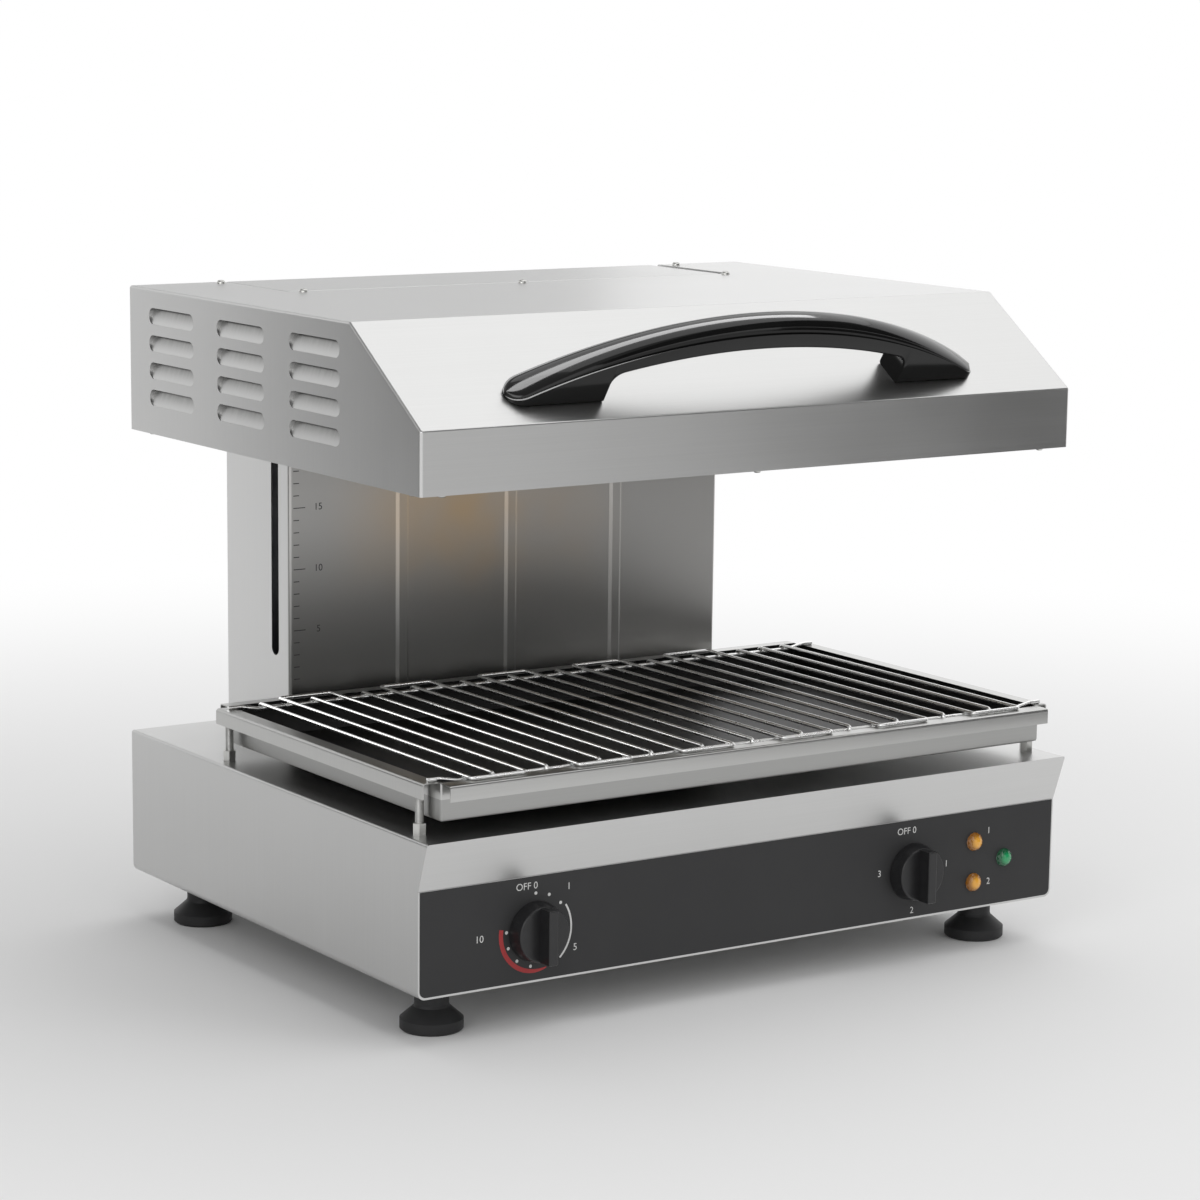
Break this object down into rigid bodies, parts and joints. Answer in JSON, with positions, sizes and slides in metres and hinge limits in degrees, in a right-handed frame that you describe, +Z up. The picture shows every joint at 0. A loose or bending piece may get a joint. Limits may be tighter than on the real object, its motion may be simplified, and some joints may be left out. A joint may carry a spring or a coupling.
{
  "type": "salamander grill",
  "caption": "Countertop salamander grill: louvred sloping heating head that slides on a rear column over a wire grate and drip tray, with dial, switch and pilot lamps on the base.",
  "frame": {"origin": "centre of the object's footprint, on the floor under the feet", "axes": "+X to the right seen from the front, +Y from the control panel to the back, +Z up"},
  "size_m": [0.6, 0.498, 0.5297],
  "materials": {
    "stainless": "brushed",
    "tray_steel": "satin",
    "reflector_steel": "bright",
    "heater_tube": "oxidised",
    "plain_steel": "zinc plated",
    "fastener_steel": "plated",
    "bright_chrome": "polished",
    "bearing_aluminium": "machined",
    "bush_brass": "machined",
    "weight_iron": "cast",
    "rope_steel": "stranded",
    "dark_plastic": "moulded",
    "pale_plastic": "moulded",
    "panel_grey": "printed film",
    "black_gloss": "moulded gloss",
    "foot_black": "moulded",
    "amber_lens": "faceted",
    "green_lens": "faceted",
    "mineral_wool": "felted",
    "stop_rubber": "moulded"
  },
  "bodies": {
    "base": {"base_casing": "stainless", "base_rear": "stainless", "front_panel": "stainless", "panel_film": "panel_grey", "floor_plate": "stainless", "cable_gland": "dark_plastic", "terminal_block": "pale_plastic", "timer_body": "dark_plastic", "selector_body": "dark_plastic", "lamps_amber": "amber_lens", "lamp_green": "green_lens", "lamp_holders": "dark_plastic", "tray_posts": "fastener_steel", "post_nuts": "fastener_steel", "column_shell": "stainless", "column_rear": "stainless", "column_cap": "stainless", "rear_screws": "fastener_steel", "rod_foot_blocks": "plain_steel", "rod_top_blocks": "plain_steel", "guide_rods": "bright_chrome", "travel_stops": "stop_rubber", "pulley_clevises": "plain_steel", "pulley_pins": "fastener_steel", "weight_guides": "plain_steel", "foot_nuts": "fastener_steel", "ropes": "rope_steel"},
    "head": {"hood_shell": "stainless", "notch_liner": "stainless", "heater_pan": "reflector_steel", "heater_left": "heater_tube", "heater_right": "heater_tube", "heater_bars": "plain_steel", "insulation": "mineral_wool", "heater_terminals": "pale_plastic", "side_arms": "plain_steel", "arm_bolts": "fastener_steel", "lifting_beam": "plain_steel", "bearing_blocks": "bearing_aluminium", "guide_bushes": "bush_brass", "handle": "black_gloss", "handle_screws": "fastener_steel", "hood_top_screws": "fastener_steel", "hood_low_screws": "fastener_steel"},
    "counterweight": {"counterweight": "weight_iron"},
    "pulley_left": {"pulley_left": "dark_plastic"},
    "pulley_right": {"pulley_right": "dark_plastic"},
    "timer": {"timer_knob": "black_gloss", "timer_shaft": "fastener_steel"},
    "selector": {"selector_knob": "black_gloss", "selector_shaft": "fastener_steel"},
    "tray": {"drip_tray": "tray_steel"},
    "grate": {"grate_wires": "bright_chrome", "grate_rods": "bright_chrome"},
    "foot_front_left": {"foot_front_left": "foot_black"},
    "foot_front_right": {"foot_front_right": "foot_black"},
    "foot_rear_left": {"foot_rear_left": "foot_black"},
    "foot_rear_right": {"foot_rear_right": "foot_black"}
  },
  "joints": [
    {"name": "head_lift", "type": "slide", "parent": "base", "child": "head", "axis": [0, 0, 1], "range_m": [-0.16, 0], "deforming": ["ropes"]},
    {"name": "weight_slide", "type": "slide", "parent": "base", "child": "counterweight", "axis": [0, 0, 1], "range_m": [0, 0.16]},
    {"name": "pulley_left_turn", "type": "hinge", "parent": "base", "child": "pulley_left", "pos_m": [-0.05999, 0.181, 0.484], "axis": [1, 0, 0], "range_deg": [0, 339.6]},
    {"name": "pulley_right_turn", "type": "hinge", "parent": "base", "child": "pulley_right", "pos_m": [0.05999, 0.181, 0.484], "axis": [1, 0, 0], "range_deg": [0, 339.6]},
    {"name": "timer_turn", "type": "hinge", "parent": "base", "child": "timer", "pos_m": [-0.1992, -0.223, 0.07696], "axis": [0, 1, 0], "range_deg": [0, 275]},
    {"name": "selector_turn", "type": "hinge", "parent": "base", "child": "selector", "pos_m": [0.156, -0.223, 0.07696], "axis": [0, 1, 0], "range_deg": [0, 270]},
    {"name": "tray_slide", "type": "slide", "parent": "base", "child": "tray", "axis": [0, -1, 0], "range_m": [0, 0.3]},
    {"name": "grate_lift", "type": "slide", "parent": "tray", "child": "grate", "axis": [0, 0, 1], "range_m": [0, 0.03]},
    {"name": "foot_front_left_turn", "type": "hinge", "parent": "base", "child": "foot_front_left", "pos_m": [-0.26, -0.176, 0], "axis": [0, 0, 1], "continuous": true},
    {"name": "foot_front_right_turn", "type": "hinge", "parent": "base", "child": "foot_front_right", "pos_m": [0.26, -0.176, 0], "axis": [0, 0, 1], "continuous": true},
    {"name": "foot_rear_left_turn", "type": "hinge", "parent": "base", "child": "foot_rear_left", "pos_m": [-0.26, 0.19, 0], "axis": [0, 0, 1], "continuous": true},
    {"name": "foot_rear_right_turn", "type": "hinge", "parent": "base", "child": "foot_rear_right", "pos_m": [0.26, 0.19, 0], "axis": [0, 0, 1], "continuous": true}
  ],
  "couplings": [
    {"joint": "weight_slide", "follows": "head_lift", "ratio": -1},
    {"joint": "pulley_left_turn", "follows": "head_lift", "rad_per_m": -37.037},
    {"joint": "pulley_right_turn", "follows": "head_lift", "rad_per_m": -37.037}
  ]
}
